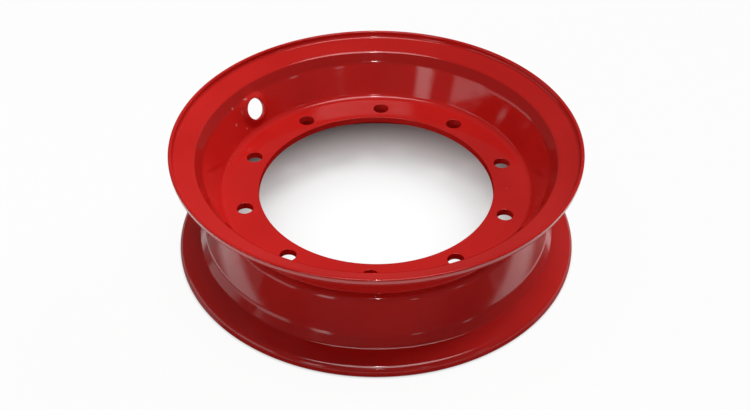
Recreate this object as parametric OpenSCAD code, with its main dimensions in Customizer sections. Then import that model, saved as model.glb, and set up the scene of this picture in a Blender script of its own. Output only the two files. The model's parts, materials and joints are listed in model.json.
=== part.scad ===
// Split rim wheel: two pressed steel half rims that stand back to back on one wheel axis.
// Millimetres, +Z along the wheel axis. The wheel lies on the lip of its lower half at z = 0.
// Both halves are the same pressing. The upper one also has the valve hole.

/* [Rim] */
// Outer diameter over the lips
rim_d = 504; // [490:1:530]
// Width over both lips
rim_w = 152; // [140:1:170]
// Thickness of the pressed sheet
sheet = 4.5; // [3.5:0.5:6]

/* [Lip and flange] */
// Depth of the lip on its inner face, down to the flange
lip_h = 7.5; // [6.5:0.5:10]
// Radial width of the sloping flange
flange_w = 25; // [21:0.5:29]
// Slope of the flange from the wheel plane
flange_angle = 18.5; // [14:0.5:26]
// Inner bend radius between the lip and the flange
lip_bend = 5; // [3:0.5:6]
// Width of the flat left between the roundings of the lip's edge
lip_flat = 0.5; // [0.3:0.1:2]

/* [Bead seat and wall] */
// Depth of the bead seat along the wheel axis
seat_h = 12; // [9:0.5:15]
// Slope of the bead seat from the wheel axis
seat_angle = 40; // [34:1:46]
// Inner bend radius between the flange and the bead seat
heel_bend = 6; // [2:0.5:8]
// Inner bend radius between the bead seat and the wall
seat_bend = 20; // [10:1:28]
// Inner bend radius between the wall and the disc
disc_bend = 10; // [6:1:12]

/* [Disc] */
// Diameter of the centre bore
bore_d = 294; // [270:1:310]
// Radial width of the flat disc, from the bore to the foot of the wall
disc_w = 46.5; // [42:0.5:52]
// Distance from the bore's edge to the circle of the stud holes
stud_inset = 20.5; // [14:0.5:26]
// Rounding of the bore's edge in the dish
bore_edge_r = 0.8; // [0.5:0.1:1.2]
// Number of stud holes in each disc
stud_count = 10; // [6:1:12]
// Diameter of a stud hole
stud_hole_d = 20; // [16:1:22]
// Angle of the first stud hole from +X
stud_phase = 15.8; // [0:0.1:36]

/* [Valve hole] */
// Diameter of the valve hole
valve_d = 28; // [22:1:30]
// Space between two stud holes that the valve hole is centred on
valve_space = 4; // [1:1:6]
// Depth of the valve hole below the lip, at the wall's dish face
valve_depth = 44; // [42:0.5:46]
// Diameter of the pressed dimple where it leaves the wall
dimple_d = 46; // [44:1:50]
// Width of the flat land around the valve hole
valve_land = 2.5; // [1.5:0.5:4]
// Height of the dimple's land above the wall, on the dish side
dimple_h = 5; // [3:0.5:6]

/* [Hidden] */
$fn = 180;

PAINT = [0.78, 0.13, 0.12];
ARC_STEP = 7.5;  // degrees between two points of a bend
CUT = 2;         // how far a straight cut runs past the sheet
DIMPLE_CUT = 4;  // how far the dimple's cut runs past the tyre face

// Heights in a half are depths from its lip, so the disc's back is at half a wheel's width
half_w = rim_w / 2;
lip_r = rim_d / 2 - sheet;
lip_edge_r = (sheet - lip_flat) / 2;
heel_r = lip_r - flange_w;
heel_s = lip_h + flange_w * tan(flange_angle);
seat_r = heel_r - seat_h * tan(seat_angle);
seat_s = heel_s + seat_h;
// The hub sets the disc: the stud circle and the wall's foot are placed from the bore
bore_r = bore_d / 2;
stud_r = bore_r + stud_inset;
foot_r = bore_r + disc_w;
disc_s = half_w - sheet;
// The wall joins the bead seat to the disc, so its slope from the wheel axis follows from both
wall_angle = atan((seat_r - foot_r) / (disc_s - seat_s));
valve_phase = stud_phase + (valve_space - 0.5) * 360 / stud_count;

// Radius of the wall's dish face at a depth
function wall_r(depth) = seat_r - (depth - seat_s) * tan(wall_angle);

function unit(v) = v / norm(v);
function right_of(v) = [v[1], -v[0]];
function ahead(path, i) = unit(path[i + 1] - path[i]);

// Corner i of an open path after the path has moved sideways to its right
function moved_corner(path, i, distance) =
    let (
        last = len(path) - 1,
        before = right_of(ahead(path, max(i - 1, 0))),
        after = right_of(ahead(path, min(i, last - 1)))
    )
    path[i] + distance * (before + after) / (1 + before * after);

// Points of one corner of a closed outline, rounded by an arc of the given radius
function round_corner(a, b, c, radius) =
    let (
        from = unit(b - a),
        to = unit(c - b),
        turn = acos(from * to),
        side = sign(cross(from, to)),
        start = b - from * radius * tan(turn / 2),
        centre = start - right_of(from) * radius * side,
        steps = max(1, ceil(turn / ARC_STEP))
    )
    radius == 0 ? [b] : [
        for (k = [0:steps])
            let (angle = side * turn * k / steps, spoke = start - centre)
            centre + [
                spoke[0] * cos(angle) - spoke[1] * sin(angle),
                spoke[0] * sin(angle) + spoke[1] * cos(angle)
            ]
    ];

function rounded(outline, radii) =
    let (n = len(outline))
    [
        for (i = [0:n - 1])
            each round_corner(outline[(i + n - 1) % n], outline[i], outline[(i + 1) % n], radii[i])
    ];

// Corners of the dish face, from the lip to the bore, as [radius, depth]
dish_face = [
    [lip_r, 0],
    [lip_r, lip_h],
    [heel_r, heel_s],
    [seat_r, seat_s],
    [foot_r, disc_s],
    [bore_r, disc_s]
];
// The tyre face lies one sheet thickness behind it, so its corners run back from the bore
tyre_face = [for (i = [len(dish_face) - 1:-1:0]) moved_corner(dish_face, i, sheet)];

// The bends of each face are concentric, so the sheet keeps its thickness around them
dish_radii = [lip_edge_r, lip_bend, heel_bend + sheet, seat_bend + sheet, disc_bend, bore_edge_r];
tyre_radii = [0, disc_bend + sheet, seat_bend, heel_bend, lip_bend + sheet, lip_edge_r];

// One pressed half, with its lip down at z = 0 and its disc on top
module pressed_half() {
    difference() {
        rotate_extrude()
            polygon(rounded(concat(dish_face, tyre_face), concat(dish_radii, tyre_radii)));
        for (k = [0:stud_count - 1])
            rotate([0, 0, stud_phase + k * 360 / stud_count])
                translate([stud_r, 0, disc_s - CUT])
                    cylinder(d = stud_hole_d, h = sheet + 2 * CUT, $fn = 48);
    }
}

// Frame on the wall's dish face: its Z axis points square out of the wall, to the tyre side
module at_valve() {
    rotate([0, 0, valve_phase])
        translate([wall_r(valve_depth), 0, valve_depth])
            rotate([0, 90 - wall_angle, 0])
                children();
}

// Tapered punch that raises the dimple, from its land down to a level past the wall's dish face
module dimple_punch(past) {
    land_r = valve_d / 2 + valve_land;
    flare = (dimple_d / 2 - land_r) / dimple_h;
    translate([0, 0, -dimple_h])
        cylinder(r1 = land_r, r2 = dimple_d / 2 + flare * past, h = dimple_h + past, $fn = 96);
}

// The half that faces up: its wall is dimpled into the dish around the valve hole
module upper_half_rim() {
    color(PAINT)
        translate([0, 0, rim_w])
            mirror([0, 0, 1])
                difference() {
                    union() {
                        pressed_half();
                        at_valve() dimple_punch(sheet / 2);
                    }
                    at_valve() translate([0, 0, sheet]) dimple_punch(DIMPLE_CUT);
                    at_valve()
                        translate([0, 0, -dimple_h - CUT])
                            cylinder(d = valve_d, h = sheet + 2 * CUT, $fn = 96);
                }
}

module lower_half_rim() {
    color(PAINT) pressed_half();
}

upper_half_rim();
lower_half_rim();
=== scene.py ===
"""Split rim wheel: two pressed steel half rims, back to back, in gloss red enamel."""

import json
import logging
import math
from collections.abc import Mapping, Sequence
from dataclasses import dataclass
from enum import Enum
from typing import Any

import bmesh
import bpy
from mathutils import Matrix, Vector


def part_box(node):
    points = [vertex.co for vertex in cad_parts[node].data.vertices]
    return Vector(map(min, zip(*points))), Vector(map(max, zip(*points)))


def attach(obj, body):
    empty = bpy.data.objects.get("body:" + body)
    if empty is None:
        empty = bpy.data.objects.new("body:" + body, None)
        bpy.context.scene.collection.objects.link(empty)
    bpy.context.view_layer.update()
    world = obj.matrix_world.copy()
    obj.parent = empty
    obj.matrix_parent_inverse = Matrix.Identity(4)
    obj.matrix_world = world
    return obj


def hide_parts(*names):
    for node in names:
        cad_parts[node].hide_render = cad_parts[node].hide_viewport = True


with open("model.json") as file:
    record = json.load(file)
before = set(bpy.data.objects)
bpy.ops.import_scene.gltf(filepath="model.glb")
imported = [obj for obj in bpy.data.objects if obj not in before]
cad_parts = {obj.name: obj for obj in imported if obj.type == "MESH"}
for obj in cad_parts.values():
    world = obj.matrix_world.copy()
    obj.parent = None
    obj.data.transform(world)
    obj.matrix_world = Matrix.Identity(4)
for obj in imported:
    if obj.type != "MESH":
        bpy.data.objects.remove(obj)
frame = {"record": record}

LOG = logging.getLogger("split_rim_wheel")
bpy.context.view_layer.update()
BODY = "root"
MM = 0.001
PIXEL = 1.0 / 750.0
WELD = 0.01 * MM
WHITE = (1.0, 1.0, 1.0, 1.0)
FLIP = Matrix.Scale(-1, 4, (0, 0, 1))

Colour = tuple[float, float, float]
Point = tuple[float, float, float]
Span = tuple[float, float]


class Facing(Enum):
    """The way that a half's dish opens."""

    UP = 1
    DOWN = -1


class Value:
    """A number in a shader: a socket whose Python operators add Math nodes."""

    def __init__(self, graph: "Graph", socket: bpy.types.NodeSocket) -> None:
        """Wrap a socket.

        Args:
            graph: The graph that the socket is in.
            socket: The output that carries the number.
        """
        self.graph = graph
        self.socket = socket

    def __add__(self, other: "Value | float") -> "Value":
        """Sum of two numbers."""
        return self.graph.math("ADD", self, other)

    __radd__ = __add__

    def __sub__(self, other: "Value | float") -> "Value":
        """This number less another."""
        return self.graph.math("SUBTRACT", self, other)

    def __rsub__(self, other: "Value | float") -> "Value":
        """Another number less this one."""
        return self.graph.math("SUBTRACT", other, self)

    def __mul__(self, other: "Value | float") -> "Value":
        """Product of two numbers."""
        return self.graph.math("MULTIPLY", self, other)

    __rmul__ = __mul__

    def between(self, low: float, high: float) -> "Value":
        """Where this number lies from low to high, smoothed, from 0 to 1.

        Args:
            low: The number that gives 0.
            high: The number that gives 1.

        Returns:
            The smoothed share.
        """
        node = self.graph.node(
            "ShaderNodeMapRange",
            {"interpolation_type": "SMOOTHSTEP"},
            {"Value": self, "From Min": low, "From Max": high},
        )
        return Value(self.graph, node.outputs["Result"])


class Graph:
    """The node tree of one material or of the world."""

    def __init__(self, tree: bpy.types.NodeTree) -> None:
        """Empty the tree.

        Args:
            tree: The tree to build in.
        """
        self.tree = tree
        tree.nodes.clear()

    def node(
        self,
        kind: str,
        settings: Mapping[str, Any] | None = None,
        inputs: Mapping[str | int, Any] | None = None,
    ) -> bpy.types.Node:
        """Add one node.

        Args:
            kind: The node's type.
            settings: Its own properties, which are set first.
            inputs: A value, a socket or a Value for each input, by name or number.

        Returns:
            The new node.
        """
        made = self.tree.nodes.new(kind)
        for name, value in (settings or {}).items():
            setattr(made, name, value)
        for name, value in (inputs or {}).items():
            if isinstance(value, Value):
                value = value.socket
            if isinstance(value, bpy.types.NodeSocket):
                self.tree.links.new(value, made.inputs[name])
            else:
                made.inputs[name].default_value = value
        return made

    def math(self, operation: str, *values: "Value | float") -> Value:
        """Work out one step of arithmetic.

        Args:
            operation: The Math node's operation.
            values: Its one or two numbers.

        Returns:
            The result.
        """
        node = self.node("ShaderNodeMath", {"operation": operation}, dict(enumerate(values)))
        return Value(self, node.outputs[0])

    def length(self, place: bpy.types.NodeSocket) -> Value:
        """Distance of a place from the origin."""
        node = self.node("ShaderNodeVectorMath", {"operation": "LENGTH"}, {0: place})
        return Value(self, node.outputs["Value"])

    def part(self, place: bpy.types.NodeSocket, axis: str) -> Value:
        """One coordinate of a place, along the axis X, Y or Z."""
        return Value(self, self.node("ShaderNodeSeparateXYZ", None, {0: place}).outputs[axis])

    def mix(self, share: Value, first: Any, second: Any) -> bpy.types.NodeSocket:
        """Mix two colours.

        Args:
            share: How much of the second colour shows.
            first: A colour or a socket.
            second: A colour or a socket.

        Returns:
            The mixed colour's socket.
        """
        inputs = {"Factor": share, 6: first, 7: second}
        return self.node("ShaderNodeMix", {"data_type": "RGBA"}, inputs).outputs[2]

    def noise(self, place: Any, scale: float, detail: float = 2.0) -> Value:
        """Cloudy noise from 0 to 1.

        Args:
            place: The socket of the place to read it at.
            scale: Blobs for each metre.
            detail: Octaves of finer noise.

        Returns:
            The noise.
        """
        inputs = {"Vector": place, "Scale": scale, "Detail": detail}
        return Value(self, self.node("ShaderNodeTexNoise", None, inputs).outputs["Fac"])


@dataclass(frozen=True)
class Chip:
    """A small pale mark in the paint."""

    at: Point
    radius: float


@dataclass(frozen=True)
class GlossEnamel:
    """Sprayed red enamel over spun steel: glossy, with faint orange peel and spinning rings."""

    half_width: float
    name: str = "gloss_red_enamel"
    colour: Colour = (0.58, 0.0125, 0.0100)
    thin_colour: Colour = (0.63, 0.0160, 0.0130)
    # The next five fields paint shade: a darker band of the base colour along the bead seat, on
    # the dish side.
    painted_shade_colour: Colour = (0.42, 0.0090, 0.0070)
    painted_shade_band: Span = (212.5 * MM, 221.7 * MM)
    painted_shade_slope: float = math.radians(40)
    painted_shade_level: float = 56.5 * MM
    painted_shade_fade: Span = (2 * MM, 0.5 * MM)
    chip_colour: Colour = (0.62, 0.14, 0.12)
    chips: Sequence[Chip] = (
        Chip((163.2 * MM, -6.9 * MM, 80.5 * MM), 1.0 * MM),
        Chip((-186.3 * MM, 102.9 * MM, 124.4 * MM), 2.2 * MM),
        Chip((-181.8 * MM, 93.5 * MM, 105.7 * MM), 2.4 * MM),
        Chip((-169.8 * MM, 103.5 * MM, 92.9 * MM), 1.8 * MM),
    )
    chip_fade: float = 0.5 * MM
    chip_grain: float = 700.0
    cloud_grain: float = 9.0
    cloud_span: Span = (0.35, 0.7)
    roughness: float = 0.08
    dust_roughness: float = 0.16
    dust_grain: float = 55.0
    dust_span: Span = (0.52, 0.72)
    peel_size: float = 4 * MM
    peel_height: float = 0.012 * MM
    ring_grain: float = 260.0
    ring_height: float = 0.02 * MM
    refraction: float = 1.5

    def material(self) -> bpy.types.Material:
        """Build the material.

        Returns:
            The paint, ready to assign.
        """
        made = bpy.data.materials.new(self.name)
        made.use_nodes = True
        made.diffuse_color = (*self.colour, 1.0)
        graph = Graph(made.node_tree)
        place = graph.node("ShaderNodeTexCoord").outputs["Object"]
        relief = {"Distance": 1.0, "Strength": 1.0, "Height": self._height(graph, place)}
        bump = graph.node("ShaderNodeBump", None, relief)
        dust = graph.noise(place, self.dust_grain, 4.0).between(*self.dust_span)
        finish = {
            "Base Color": self._film(graph, place),
            "Roughness": dust * (self.dust_roughness - self.roughness) + self.roughness,
            "Normal": bump.outputs["Normal"],
            "IOR": self.refraction,
        }
        paint = graph.node("ShaderNodeBsdfPrincipled", None, finish)
        graph.node("ShaderNodeOutputMaterial", None, {"Surface": paint.outputs["BSDF"]})
        return made

    def _film(self, graph: Graph, place: bpy.types.NodeSocket) -> bpy.types.NodeSocket:
        """Colour of the paint film, with its thin clouds, painted shade along the bead seat and
        the chips.

        Args:
            graph: The material's graph.
            place: The place on the wheel.

        Returns:
            The colour's socket.
        """
        film: Any = (*self.colour, 1.0)
        thin = graph.noise(place, self.cloud_grain).between(*self.cloud_span)
        layers = (
            (thin, self.thin_colour),
            # painted shade: darker base colour along the bead seat
            (self._painted_shade(graph, place), self.painted_shade_colour),
            (self._chips(graph, place), self.chip_colour),
        )
        for share, colour in layers:
            film = graph.mix(share, film, (*colour, 1.0))
        return film

    @staticmethod
    def _radius(graph: Graph, place: bpy.types.NodeSocket) -> Value:
        """Distance from the wheel's axis.

        Args:
            graph: The material's graph.
            place: The place on the wheel.

        Returns:
            The distance.
        """
        inputs = {0: place, 1: (1.0, 1.0, 0.0)}
        flat = graph.node("ShaderNodeVectorMath", {"operation": "MULTIPLY"}, inputs)
        return graph.length(flat.outputs[0])

    def _painted_shade(self, graph: Graph, place: bpy.types.NodeSocket) -> Value:
        """Share of painted shade, a darker band of the base colour along the bead seat, on the
        dish side.

        Args:
            graph: The material's graph.
            place: The place on the wheel.

        Returns:
            The share, from 0 to 1.
        """
        radius = self._radius(graph, place)
        low, high = self.painted_shade_band
        wide, narrow = self.painted_shade_fade
        from_middle = graph.math("ABSOLUTE", graph.part(place, "Z") - self.half_width)
        across = from_middle + (high - radius) * (1 / math.tan(self.painted_shade_slope))
        band = radius.between(low - wide, low + wide)
        band = band * radius.between(high + narrow, high - narrow)
        return band * across.between(self.painted_shade_level - MM, self.painted_shade_level)

    def _chips(self, graph: Graph, place: bpy.types.NodeSocket) -> Value:
        """Share of bare, paler paint at the chips.

        Args:
            graph: The material's graph.
            place: The place on the wheel.

        Returns:
            The share, from 0 to 1.
        """
        ragged = graph.noise(place, self.chip_grain) * MM
        share: Value | float = 0.0
        for chip in self.chips:
            inputs = {0: place, 1: chip.at}
            away = graph.node("ShaderNodeVectorMath", {"operation": "DISTANCE"}, inputs)
            reach = Value(graph, away.outputs["Value"]) + ragged
            fade = (chip.radius + self.chip_fade, chip.radius - self.chip_fade)
            share = reach.between(*fade) + share
        return share

    def _height(self, graph: Graph, place: bpy.types.NodeSocket) -> Value:
        """Height of the paint film and of the spinning rings under it.

        Args:
            graph: The material's graph.
            place: The place on the wheel.

        Returns:
            The height in metres.
        """
        ring_place = graph.node("ShaderNodeCombineXYZ", None, {"X": self._radius(graph, place)})
        rings = graph.noise(ring_place.outputs[0], self.ring_grain, 3.0)
        peel = graph.noise(place, 1.0 / self.peel_size, 1.0)
        return peel * self.peel_height + rings * self.ring_height


@dataclass(frozen=True)
class Corner:
    """A corner of a section, as radius and depth, with the radius of its bend."""

    at: Vector
    bend: float = 0.0


@dataclass(frozen=True)
class RoundedOutline:
    """A closed outline in the XZ plane whose corners are rounded by true arcs."""

    corners: Sequence[Corner]
    arc_step: float = math.radians(4.0)

    def draw(self, bm: bmesh.types.BMesh, closed: bool = True) -> list[Any]:
        """Draw the outline as a chain of edges.

        Args:
            bm: The mesh to draw in.
            closed: Whether the last corner joins the first.

        Returns:
            The outline's vertices and edges.
        """
        before = set(bm.verts), set(bm.edges)
        count = len(self.corners)
        ends = []
        for i, corner in enumerate(self.corners):
            if corner.bend and (closed or 0 < i < count - 1):
                around = (self.corners[i - 1], self.corners[(i + 1) % count])
                ends.append(self._arc(bm, corner, *around))
            else:
                ends.append(self._point(bm, corner))
        joins = count if closed else count - 1
        for i in range(joins):
            bm.edges.new((ends[i][1], ends[(i + 1) % count][0]))
        verts = [v for v in bm.verts if v not in before[0]]
        return verts + [e for e in bm.edges if e not in before[1]]

    @staticmethod
    def _point(bm: bmesh.types.BMesh, corner: Corner) -> tuple[Any, Any]:
        """Draw a sharp corner, and return its one vertex twice."""
        vert = bm.verts.new((corner.at.x, 0.0, corner.at.y))
        return vert, vert

    def _arc(
        self, bm: bmesh.types.BMesh, corner: Corner, before: Corner, after: Corner
    ) -> tuple[Any, Any]:
        """Draw a rounded corner by spinning its first vertex about the bend's centre.

        Args:
            bm: The mesh to draw in.
            corner: The corner.
            before: The corner before it.
            after: The corner after it.

        Returns:
            The arc's first and last vertex.
        """
        into = (corner.at - before.at).normalized()
        out = (after.at - corner.at).normalized()
        turn = math.atan2(into.x * out.y - into.y * out.x, into.dot(out))
        start = corner.at - into * corner.bend * math.tan(abs(turn) / 2)
        side = math.copysign(1.0, turn)
        centre = start + Vector((-into.y, into.x)) * corner.bend * side
        first = bm.verts.new((start.x, 0.0, start.y))
        spun = bmesh.ops.spin(
            bm,
            geom=[first],
            cent=(centre.x, 0.0, centre.y),
            axis=(0.0, -1.0, 0.0),
            angle=turn,
            steps=max(2, round(abs(turn) / self.arc_step)),
        )
        last = next(g for g in spun["geom_last"] if isinstance(g, bmesh.types.BMVert))
        return first, last


@dataclass(frozen=True)
class PressedSheet:
    """Section of one half rim. Depths run from the lip's edge towards the disc."""

    rim_radius: float
    half_width: float
    bore_radius: float
    sheet: float = 4.5 * MM
    lip_depth: float = 7.5 * MM
    flange_width: float = 25 * MM
    flange_slope: float = math.radians(18.5)
    seat_depth: float = 12 * MM
    seat_slope: float = math.radians(40)
    disc_width: float = 46.5 * MM
    lip_bend: float = 5 * MM
    heel_bend: float = 6 * MM
    seat_bend: float = 20 * MM
    disc_bend: float = 10 * MM
    lip_edge: float = 2 * MM
    bore_edge: float = 0.8 * MM
    back_edge: float = 0.3 * MM

    def dish_path(self) -> list[Vector]:
        """Lay out the dish face.

        Returns:
            Its corners, from the lip to the bore.
        """
        lip = self.rim_radius - self.sheet
        fall = self.flange_width * math.tan(self.flange_slope)
        heel = Vector((lip - self.flange_width, self.lip_depth + fall))
        seat = heel + Vector((-math.tan(self.seat_slope), 1.0)) * self.seat_depth
        disc = self.half_width - self.sheet
        return [
            Vector((lip, 0.0)),
            Vector((lip, self.lip_depth)),
            heel,
            seat,
            Vector((self.bore_radius + self.disc_width, disc)),
            Vector((self.bore_radius, disc)),
        ]

    @staticmethod
    def moved(path: Sequence[Vector], distance: float) -> list[Vector]:
        """Move an open path sideways, to its right.

        Args:
            path: The path's corners.
            distance: How far it moves.

        Returns:
            The corners of the moved path.
        """
        steps = [(b - a).normalized() for a, b in zip(path, path[1:])]
        rights = [Vector((step.y, -step.x)) for step in steps]
        pairs = zip([rights[0], *rights], [*rights, rights[-1]])
        return [at + (a + b) * distance / (1 + a.dot(b)) for at, (a, b) in zip(path, pairs)]

    def outline(self) -> RoundedOutline:
        """Close the section, with concentric bends on its two faces.

        Returns:
            The section's outline.
        """
        dish = self.dish_path()
        tyre = self.moved(dish, self.sheet)
        thick = self.sheet
        dish_bends = [
            self.lip_edge,
            self.lip_bend,
            self.heel_bend + thick,
            self.seat_bend + thick,
            self.disc_bend,
            self.bore_edge,
        ]
        tyre_bends = [
            self.lip_edge,
            self.lip_bend + thick,
            self.heel_bend,
            self.seat_bend,
            self.disc_bend + thick,
            self.back_edge,
        ]
        front = [Corner(at, bend) for at, bend in zip(dish, dish_bends)]
        back = [Corner(at, bend) for at, bend in zip(tyre, tyre_bends)]
        return RoundedOutline(front + back[::-1])


@dataclass(frozen=True)
class HolePunch:
    """A punch for a round hole along Z, with a rounded shoulder at its upper end."""

    radius: float
    low: float
    high: float
    shoulder: float = 0.7 * MM
    past: float = 3 * MM
    steps: int = 64
    arc_step: float = math.radians(22.5)

    def draw(self, bm: bmesh.types.BMesh, place: Matrix) -> list[Any]:
        """Draw the punch as a closed solid.

        Args:
            bm: The mesh to draw in.
            place: Where the punch's own frame stands.

        Returns:
            Its vertices, edges and faces.
        """
        top = self.high + self.past
        wide = self.radius + self.shoulder
        corners = [
            Corner(Vector((0.0, self.low - self.past))),
            Corner(Vector((self.radius, self.low - self.past))),
            Corner(Vector((self.radius, self.high)), self.shoulder),
            Corner(Vector((wide, self.high))),
            Corner(Vector((wide, top))),
            Corner(Vector((0.0, top))),
        ]
        before = set(bm.verts)
        section = RoundedOutline(corners, self.arc_step).draw(bm, closed=False)
        bmesh.ops.spin(
            bm,
            geom=section,
            cent=(0, 0, 0),
            axis=(0, 0, 1),
            angle=math.tau,
            steps=self.steps,
            use_merge=True,
        )
        verts = [v for v in bm.verts if v not in before]
        bmesh.ops.remove_doubles(bm, verts=verts, dist=WELD)
        verts = [v for v in bm.verts if v not in before]
        bmesh.ops.transform(bm, matrix=place, verts=verts)
        edges = {e for v in verts for e in v.link_edges}
        faces = {f for v in verts for f in v.link_faces}
        return [*verts, *edges, *faces]


@dataclass(frozen=True)
class ValveDimple:
    """The raised dimple around the valve hole.

    The mouth is a frame on the wall's dish face. Its Z axis points to the tyre side.
    """

    mouth: Matrix
    hole_radius: float
    sheet: float
    height: float = 5 * MM
    land: float = 2.5 * MM
    base_radius: float = 23 * MM
    blend: float = 2.5 * MM
    edge: float = 1.2 * MM
    past: float = 6 * MM
    steps: int = 96

    @classmethod
    def at_mount(cls, valve: Mapping[str, Any], sheet: float) -> "ValveDimple":
        """Place the dimple at the valve hole's mount.

        Args:
            valve: The mount.
            sheet: Thickness of the pressed sheet.

        Returns:
            The dimple.
        """
        axis = Vector(valve["axis"]).normalized()
        origin = Vector(valve["pos_m"]) + axis * (cls.height - sheet / 2)
        turn = axis.to_track_quat("Z", "X").to_matrix().to_4x4()
        return cls(Matrix.Translation(origin) @ turn, valve["dims"]["r_mm"] * MM, sheet)

    def punch(self, bm: bmesh.types.BMesh) -> None:
        """Draw the punch of the valve hole, whose rounded shoulder is on the dish side.

        Args:
            bm: The mesh to draw in.
        """
        low = self.height - self.sheet
        shape = HolePunch(self.hole_radius, low, self.height, self.edge, self.past, self.steps)
        shape.draw(bm, self.mouth @ FLIP)

    def press(self, bm: bmesh.types.BMesh) -> int:
        """Press the dimple into both faces of the wall.

        Args:
            bm: The half rim's mesh, in place.

        Returns:
            How many vertices moved.
        """
        inward = self.mouth.inverted()
        inner = self.hole_radius + self.land - self.blend
        outer = self.base_radius + self.blend
        moved = 0
        for vert in bm.verts:
            at = inward @ vert.co
            reach = math.hypot(at.x, at.y)
            if reach >= outer or abs(at.z) > self.base_radius:
                continue
            share = min(1.0, (outer - reach) / (outer - inner))
            share = share * share * (3 - 2 * share)
            land = self.sheet - self.height if at.z > self.sheet / 2 else -self.height
            at.z += (land - at.z) * share
            vert.co = self.mouth @ at
            moved += 1
        return moved


@dataclass
class HalfRim:
    """One pressed half of the wheel."""

    node: str
    piece: str
    facing: Facing
    section: PressedSheet
    studs: Mapping[str, float]
    paint: bpy.types.Material
    dimple: ValveDimple | None = None
    stud_phase: float = math.radians(15.8)
    sectors: int = 20
    sector_steps: int = 15
    fine_steps: int = 64
    long_edges: int = 4
    plain_cells: int = 4
    wall_cells: int = 32
    least_wall: float = 10 * MM
    sharp_angle: float = math.radians(40)

    def build(self) -> bpy.types.Object:
        """Build, drill and paint the half.

        Returns:
            The finished piece.
        """
        bm = bmesh.new()
        self.section.outline().draw(bm)
        self._cut_wall(bm)
        self._sweep(bm)
        if self.facing is Facing.UP:
            lift = Matrix.Translation((0, 0, 2 * self.section.half_width))
            bmesh.ops.transform(bm, matrix=lift @ FLIP, verts=bm.verts)
        if self.dimple:
            LOG.info("dimple moved %d vertices", self.dimple.press(bm))
        bmesh.ops.recalc_face_normals(bm, faces=bm.faces)
        body = new_object(self.piece, bm)
        punches = new_object(self.piece + "_punches", self._punches())
        drilled = self._drill(body, punches)
        drilled.data.materials.append(self.paint)
        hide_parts(self.node)
        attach(drilled, BODY)
        return drilled

    def _cut_wall(self, bm: bmesh.types.BMesh) -> None:
        """Cut the section's longest edges into short ones, finely where the dimple comes.

        Args:
            bm: The mesh that holds the section.
        """
        ranked = sorted(bm.edges, key=lambda edge: edge.calc_length(), reverse=True)
        for edge in ranked[: self.long_edges]:
            rise = abs(edge.verts[0].co.z - edge.verts[1].co.z)
            fine = self.dimple and rise > self.least_wall
            cuts = self.wall_cells if fine else self.plain_cells
            bmesh.ops.subdivide_edges(bm, edges=[edge], cuts=cuts)

    def _sweep(self, bm: bmesh.types.BMesh) -> None:
        """Spin the section through one sector and repeat it, with finer steps across the dimple.

        Args:
            bm: The mesh that holds the section.
        """
        axis = {"cent": (0, 0, 0), "axis": (0, 0, 1)}
        turn = math.tau / self.sectors
        section = [*bm.verts, *bm.edges]
        repeats = self.sectors - 1
        if self.dimple:
            valve = self.dimple.mouth.translation
            start = math.atan2(valve.y, valve.x) + turn / 2
            turned = Matrix.Rotation(start, 3, "Z")
            bmesh.ops.rotate(bm, cent=(0, 0, 0), matrix=turned, verts=bm.verts)
            fine = bmesh.ops.duplicate(bm, geom=section)["geom"]
            repeats -= 1
        bmesh.ops.spin(bm, geom=section, angle=turn, steps=self.sector_steps, **axis)
        sector = {part for face in bm.faces for part in (face, *face.edges, *face.verts)}
        bmesh.ops.spin(
            bm, geom=list(sector), angle=turn * repeats, steps=repeats, use_duplicate=True, **axis
        )
        if self.dimple:
            bmesh.ops.spin(bm, geom=fine, angle=-turn, steps=self.fine_steps, **axis)
        bmesh.ops.remove_doubles(bm, verts=bm.verts, dist=WELD)

    def _punches(self) -> bmesh.types.BMesh:
        """Draw all the punches for this half.

        Returns:
            The punches, as one mesh.
        """
        bm = bmesh.new()
        disc = self.section.half_width
        face = disc + self.section.sheet * self.facing.value
        low, high = sorted((disc * self.facing.value, face * self.facing.value))
        punch = HolePunch(self.studs["hole_r_mm"] * MM, low, high)
        out = Matrix.Translation((self.studs["pcd_mm"] / 2 * MM, 0, 0))
        up = Matrix.Identity(4) if self.facing is Facing.UP else FLIP
        first = punch.draw(bm, Matrix.Rotation(self.stud_phase, 4, "Z") @ out @ up)
        count = int(self.studs["count"])
        bmesh.ops.spin(
            bm,
            geom=first,
            cent=(0, 0, 0),
            axis=(0, 0, 1),
            angle=math.tau * (count - 1) / count,
            steps=count - 1,
            use_duplicate=True,
        )
        if self.dimple:
            self.dimple.punch(bm)
        bmesh.ops.recalc_face_normals(bm, faces=bm.faces)
        return bm

    def _drill(self, body: bpy.types.Object, punches: bpy.types.Object) -> bpy.types.Object:
        """Cut the holes and weight the normals.

        Args:
            body: The undrilled half.
            punches: The punches, as one object.

        Returns:
            The drilled half, with its modifiers applied.
        """
        cut = body.modifiers.new("holes", "BOOLEAN")
        cut.operation = "DIFFERENCE"
        cut.solver = "EXACT"
        cut.object = punches
        body.data = applied(body)
        bpy.data.objects.remove(punches)
        body.data.set_sharp_from_angle(angle=self.sharp_angle)
        weighted = body.modifiers.new("normals", "WEIGHTED_NORMAL")
        weighted.keep_sharp = True
        body.data = applied(body)
        return body


def new_object(name: str, bm: bmesh.types.BMesh) -> bpy.types.Object:
    """Turn a bmesh into a smooth shaded object.

    Args:
        name: The object's name.
        bm: The mesh, which is freed.

    Returns:
        The object, at the origin.
    """
    mesh = bpy.data.meshes.new(name)
    bm.to_mesh(mesh)
    bm.free()
    mesh.shade_smooth()
    made = bpy.data.objects.new(name, mesh)
    bpy.context.scene.collection.objects.link(made)
    return made


def applied(obj: bpy.types.Object) -> bpy.types.Mesh:
    """Apply an object's modifiers.

    Args:
        obj: The object, which loses its modifiers.

    Returns:
        The mesh that they make.
    """
    graph = bpy.context.evaluated_depsgraph_get()
    mesh = bpy.data.meshes.new_from_object(obj.evaluated_get(graph))
    mesh.name = obj.name
    obj.modifiers.clear()
    return mesh


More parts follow.
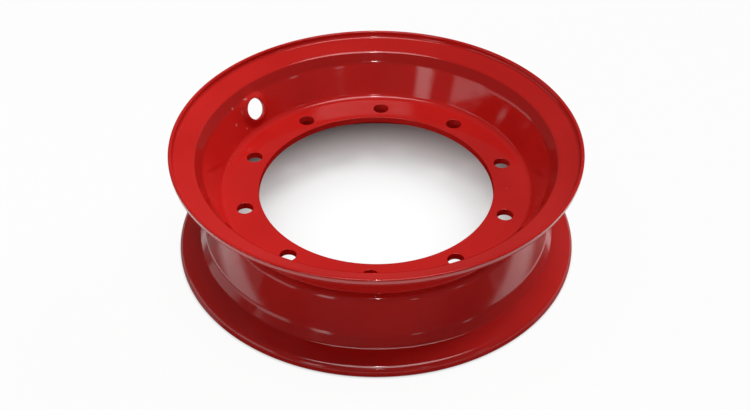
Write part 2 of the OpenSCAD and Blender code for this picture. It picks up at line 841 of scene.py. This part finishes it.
def shine(data: bpy.types.Light, name: str) -> bpy.types.Object:
    """Put a light in the scene.

    Args:
        data: The light.
        name: Its object's name.

    Returns:
        The light's object.
    """
    made = bpy.data.objects.new(name, data)
    bpy.context.scene.collection.objects.link(made)
    return made


@dataclass(frozen=True)
class SoftLight:
    """A wide far light for the body colour, without a highlight. Angles are in degrees."""

    name: str
    azimuth: float
    elevation: float
    level: float
    spread: float = 25.0

    def hang(self) -> bpy.types.Object:
        """Hang the light.

        Returns:
            The light's object.
        """
        data = bpy.data.lights.new(self.name, "SUN")
        data.energy = self.level * math.pi
        data.angle = math.radians(self.spread)
        made = shine(data, self.name)
        tilt = math.radians(90 - self.elevation)
        made.rotation_euler = (tilt, 0.0, math.radians(90 + self.azimuth))
        made.visible_glossy = False
        return made


class Shows(Enum):
    """What a lamp lights: the paint's body colour, or only its gloss."""

    BODY = "body"
    GLOSS = "gloss"


@dataclass(frozen=True)
class SquareLamp:
    """A square lamp near the wheel."""

    name: str
    shows: Shows
    at: Point
    power: float
    size: float = 90 * MM
    towards: Point = (0.0, 0.0, 0.1)

    def hang(self) -> bpy.types.Object:
        """Hang the lamp.

        Returns:
            The lamp's object.
        """
        data = bpy.data.lights.new(self.name, "AREA")
        data.size = self.size
        data.energy = self.power
        made = shine(data, self.name)
        made.location = self.at
        ahead = Vector(self.towards) - Vector(self.at)
        made.rotation_euler = ahead.to_track_quat("-Z", "Y").to_euler()
        made.visible_diffuse = self.shows is Shows.BODY
        made.visible_glossy = self.shows is Shows.GLOSS
        return made


@dataclass(frozen=True)
class Panel:
    """A pale panel far away in the room, seen as a patch of the sky. Angles are in degrees."""

    name: str
    azimuth: float
    elevation: float
    half_width: float
    half_height: float
    level: float
    blur: float = 6.0

    def light(self, graph: Graph, direction: bpy.types.NodeSocket) -> Value:
        """Light that comes from the panel.

        Args:
            graph: The world's graph.
            direction: The direction looked in.

        Returns:
            The panel's level inside its edges and 0 outside them.
        """
        turned = graph.node(
            "ShaderNodeVectorRotate",
            {"rotation_type": "Z_AXIS"},
            {"Vector": direction, "Angle": -math.radians(self.azimuth)},
        )
        along, across, up = (graph.part(turned.outputs[0], axis) for axis in "XYZ")
        sideways = graph.math("ARCTAN2", across, along)
        upwards = graph.math("ARCSINE", up) - math.radians(self.elevation)
        share: Value | float = self.level
        for angle, half in ((sideways, self.half_width), (upwards, self.half_height)):
            away = graph.math("ABSOLUTE", angle)
            edges = (math.radians(half + self.blur / 2), math.radians(half - self.blur / 2))
            share = away.between(*edges) * share
        return share


@dataclass(frozen=True)
class FloorSheen:
    """How bright the floor is in the gloss: pale at the sides and behind, dim in front."""

    under: Span = (0.24, 0.26)
    low_level: float = 0.06
    back_slant: float = 0.279
    back_edge: Span = (-0.125, -0.105)
    right_level: float = 0.22
    left_extra: float = 0.05
    left_edge: Span = (0.1, -0.1)
    ring_level: float = 1.6
    ring_start: Span = (0.28, 0.36)
    ring_end: Span = (0.55, 0.45)

    def level(self, graph: Graph, place: bpy.types.NodeSocket) -> Value:
        """Level at a place, which is 0 under the wheel.

        Args:
            graph: The floor's graph.
            place: The place on the floor.

        Returns:
            The level.
        """
        sideways = graph.part(place, "X")
        edge = graph.math("ABSOLUTE", sideways) * self.back_slant + graph.part(place, "Y")
        side = sideways.between(*self.left_edge) * self.left_extra + self.right_level
        radius = graph.length(place)
        ring = radius.between(*self.ring_start) * radius.between(*self.ring_end)
        back = edge.between(*self.back_edge) * side
        pale = graph.math("MAXIMUM", back, ring * self.ring_level) + self.low_level
        return pale * radius.between(*self.under)


@dataclass
class Studio:
    """The pale floor, the lamps and the light of the room."""

    floor_size: float = 8.0
    floor_drop: float = 0.1 * MM
    floor_colour: Colour = (0.80, 0.80, 0.80)
    floor_glow: float = 0.95
    glow_edge: Span = (0.247, 0.255)
    # painted light: a glow on the floor under the wheel, strongest at its centre, that brightens
    # the floor seen through the bore
    painted_bore_light: Span = (0.27, 0.06)
    sheen: FloorSheen = FloorSheen()
    room_level: float = 0.12
    body_level: float = 0.04
    panels: Sequence[Panel] = (
        Panel("ceiling", 285, 74, 80, 9, 5.0),
        Panel("left_board", 176, 7, 20, 8, 0.9, 4),
        Panel("left_wall", 207, 12, 11, 9, 1.3, 4),
        Panel("left_strip", 238, 19, 5, 9, 2.4, 4),
        Panel("front_strip", 294, 18, 2.5, 4, 1.6, 2),
        Panel("side_strip", 325, 18, 2.5, 4, 1.6, 2),
    )
    lights: Sequence[SoftLight | SquareLamp] = (
        SoftLight("ceiling_light", 25, 74, 0.4),
        SoftLight("window_light", 45, 24, 0.36),
        SoftLight("front_light", 245, 20, 0.16, 40),
        SquareLamp("near_light", Shows.BODY, (-0.35, 0, 1.25), 4.0, 0.5, (-0.35, 0, 0)),
        SquareLamp("ceiling_lamp", Shows.GLOSS, (0.03, -0.35, 2.2), 3.0),
        SquareLamp("front_lamp", Shows.GLOSS, (0.03, -1.45, 1.55), 1.5),
    )

    def build(self) -> None:
        """Build the floor, the room and the lamps."""
        bm = bmesh.new()
        bmesh.ops.create_grid(bm, x_segments=1, y_segments=1, size=self.floor_size / 2)
        floor = new_object("floor", bm)
        floor.location.z = -self.floor_drop
        floor.data.materials.append(self._floor_material())
        self._room()
        for light in self.lights:
            light.hang()

    def _floor_material(self) -> bpy.types.Material:
        """Make the pale floor, which keeps the shadow and is near white to the camera, with
        painted light that glows on the floor under the bore.

        Returns:
            The floor's material.
        """
        made = bpy.data.materials.new("pale_floor")
        made.use_nodes = True
        graph = Graph(made.node_tree)
        place = graph.node("ShaderNodeTexCoord").outputs["Object"]
        radius = graph.length(place)
        outside = radius.between(*self.glow_edge) * self.floor_glow
        # even white backdrop outside the wheel, plus painted light glowing on the floor under the
        # bore
        backdrop_and_painted_light = graph.math("MAXIMUM", outside, radius.between(*self.painted_bore_light))
        rays = graph.node("ShaderNodeLightPath").outputs
        board = graph.node("ShaderNodeBsdfDiffuse", None, {"Color": (*self.floor_colour, 1.0)})
        white = self._shining(graph, "ShaderNodeEmission", 1.0)
        sheen = self._shining(graph, "ShaderNodeEmission", self.sheen.level(graph, place))
        seen = Value(graph, rays["Is Camera Ray"]) * backdrop_and_painted_light
        plain = self._either(graph, seen, board.outputs[0], white)
        shown = self._either(graph, rays["Is Glossy Ray"], plain, sheen)
        graph.node("ShaderNodeOutputMaterial", None, {"Surface": shown})
        return made

    @staticmethod
    def _shining(graph: Graph, kind: str, strength: Value | float) -> bpy.types.NodeSocket:
        """White light of a kind, Emission or Background, at a strength."""
        return graph.node(kind, None, {"Color": WHITE, "Strength": strength}).outputs[0]

    @staticmethod
    def _either(graph: Graph, share: Any, first: Any, second: Any) -> bpy.types.NodeSocket:
        """Mix of two shaders, with the share of the second."""
        return graph.node("ShaderNodeMixShader", None, {0: share, 1: first, 2: second}).outputs[0]

    def _room(self) -> None:
        """Panels that show in the gloss, an even low light, and white behind the floor."""
        world = bpy.data.worlds.new("room")
        bpy.context.scene.world = world
        world.use_nodes = True
        graph = Graph(world.node_tree)
        direction = graph.node("ShaderNodeTexCoord").outputs["Generated"]
        level: Value | float = self.room_level
        for panel in self.panels:
            level = panel.light(graph, direction) + level
        rays = graph.node("ShaderNodeLightPath").outputs
        levels = (self.body_level, level, 1.0)
        even, room, white = (self._shining(graph, "ShaderNodeBackground", at) for at in levels)
        light = self._either(graph, rays["Is Glossy Ray"], even, room)
        shown = self._either(graph, rays["Is Camera Ray"], light, white)
        graph.node("ShaderNodeOutputWorld", None, {"Surface": shown})


@dataclass(frozen=True)
class PhotoCamera:
    """The photograph's camera, fitted to the wheel's circles, at distances in rim radii."""

    rim_radius: float
    rim_width: float
    in_front: float = 4.66707
    above: float = 3.42909
    pitch: float = math.radians(41.162)
    yaw: float = math.radians(0.04)
    focal_pixels: float = 1195.1
    axis_from_centre: tuple[float, float] = (0.5, 35.5)
    sensor: float = 36.0

    def place(self) -> bpy.types.Object:
        """Place the camera and make it the scene's own.

        Returns:
            The camera's object.
        """
        data = bpy.data.cameras.new("photo_camera")
        data.sensor_width = self.sensor
        data.lens = self.focal_pixels * PIXEL * self.sensor
        data.shift_x = -self.axis_from_centre[0] * PIXEL
        data.shift_y = self.axis_from_centre[1] * PIXEL
        made = bpy.data.objects.new("photo_camera", data)
        height = self.rim_width + self.above * self.rim_radius
        made.location = (0.0, -self.in_front * self.rim_radius, height)
        made.rotation_euler = (math.pi / 2 - self.pitch, 0.0, self.yaw)
        bpy.context.scene.collection.objects.link(made)
        bpy.context.scene.camera = made
        return made


def mounts() -> dict[str, dict[str, Any]]:
    """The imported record's mounts, by name."""
    return {mount["name"]: mount for mount in frame["record"]["mounts"]}


def main() -> None:
    """Build the wheel, the studio and the camera."""
    logging.basicConfig(level=logging.INFO, format="%(name)s: %(message)s")
    bpy.context.scene.view_settings.view_transform = "Standard"
    rim_radius, _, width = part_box("upper_half_rim")[1]
    found = mounts()
    section = PressedSheet(rim_radius, width / 2, found["centre_bore"]["dims"]["r_mm"] * MM)
    dimple = ValveDimple.at_mount(found["valve_hole"], section.sheet)
    paint = GlossEnamel(section.half_width).material()
    studs = found["stud_holes"]["dims"]
    halves = (
        HalfRim("lower_half_rim", "lower_half", Facing.DOWN, section, studs, paint),
        HalfRim("upper_half_rim", "upper_half", Facing.UP, section, studs, paint, dimple),
    )
    for half in halves:
        piece = half.build()
        LOG.info("%s: %d faces", piece.name, len(piece.data.polygons))
    Studio().build()
    camera = PhotoCamera(rim_radius, width).place()
    LOG.info("%s: lens %.2f mm", camera.name, camera.data.lens)


if __name__ == "__main__":
    main()
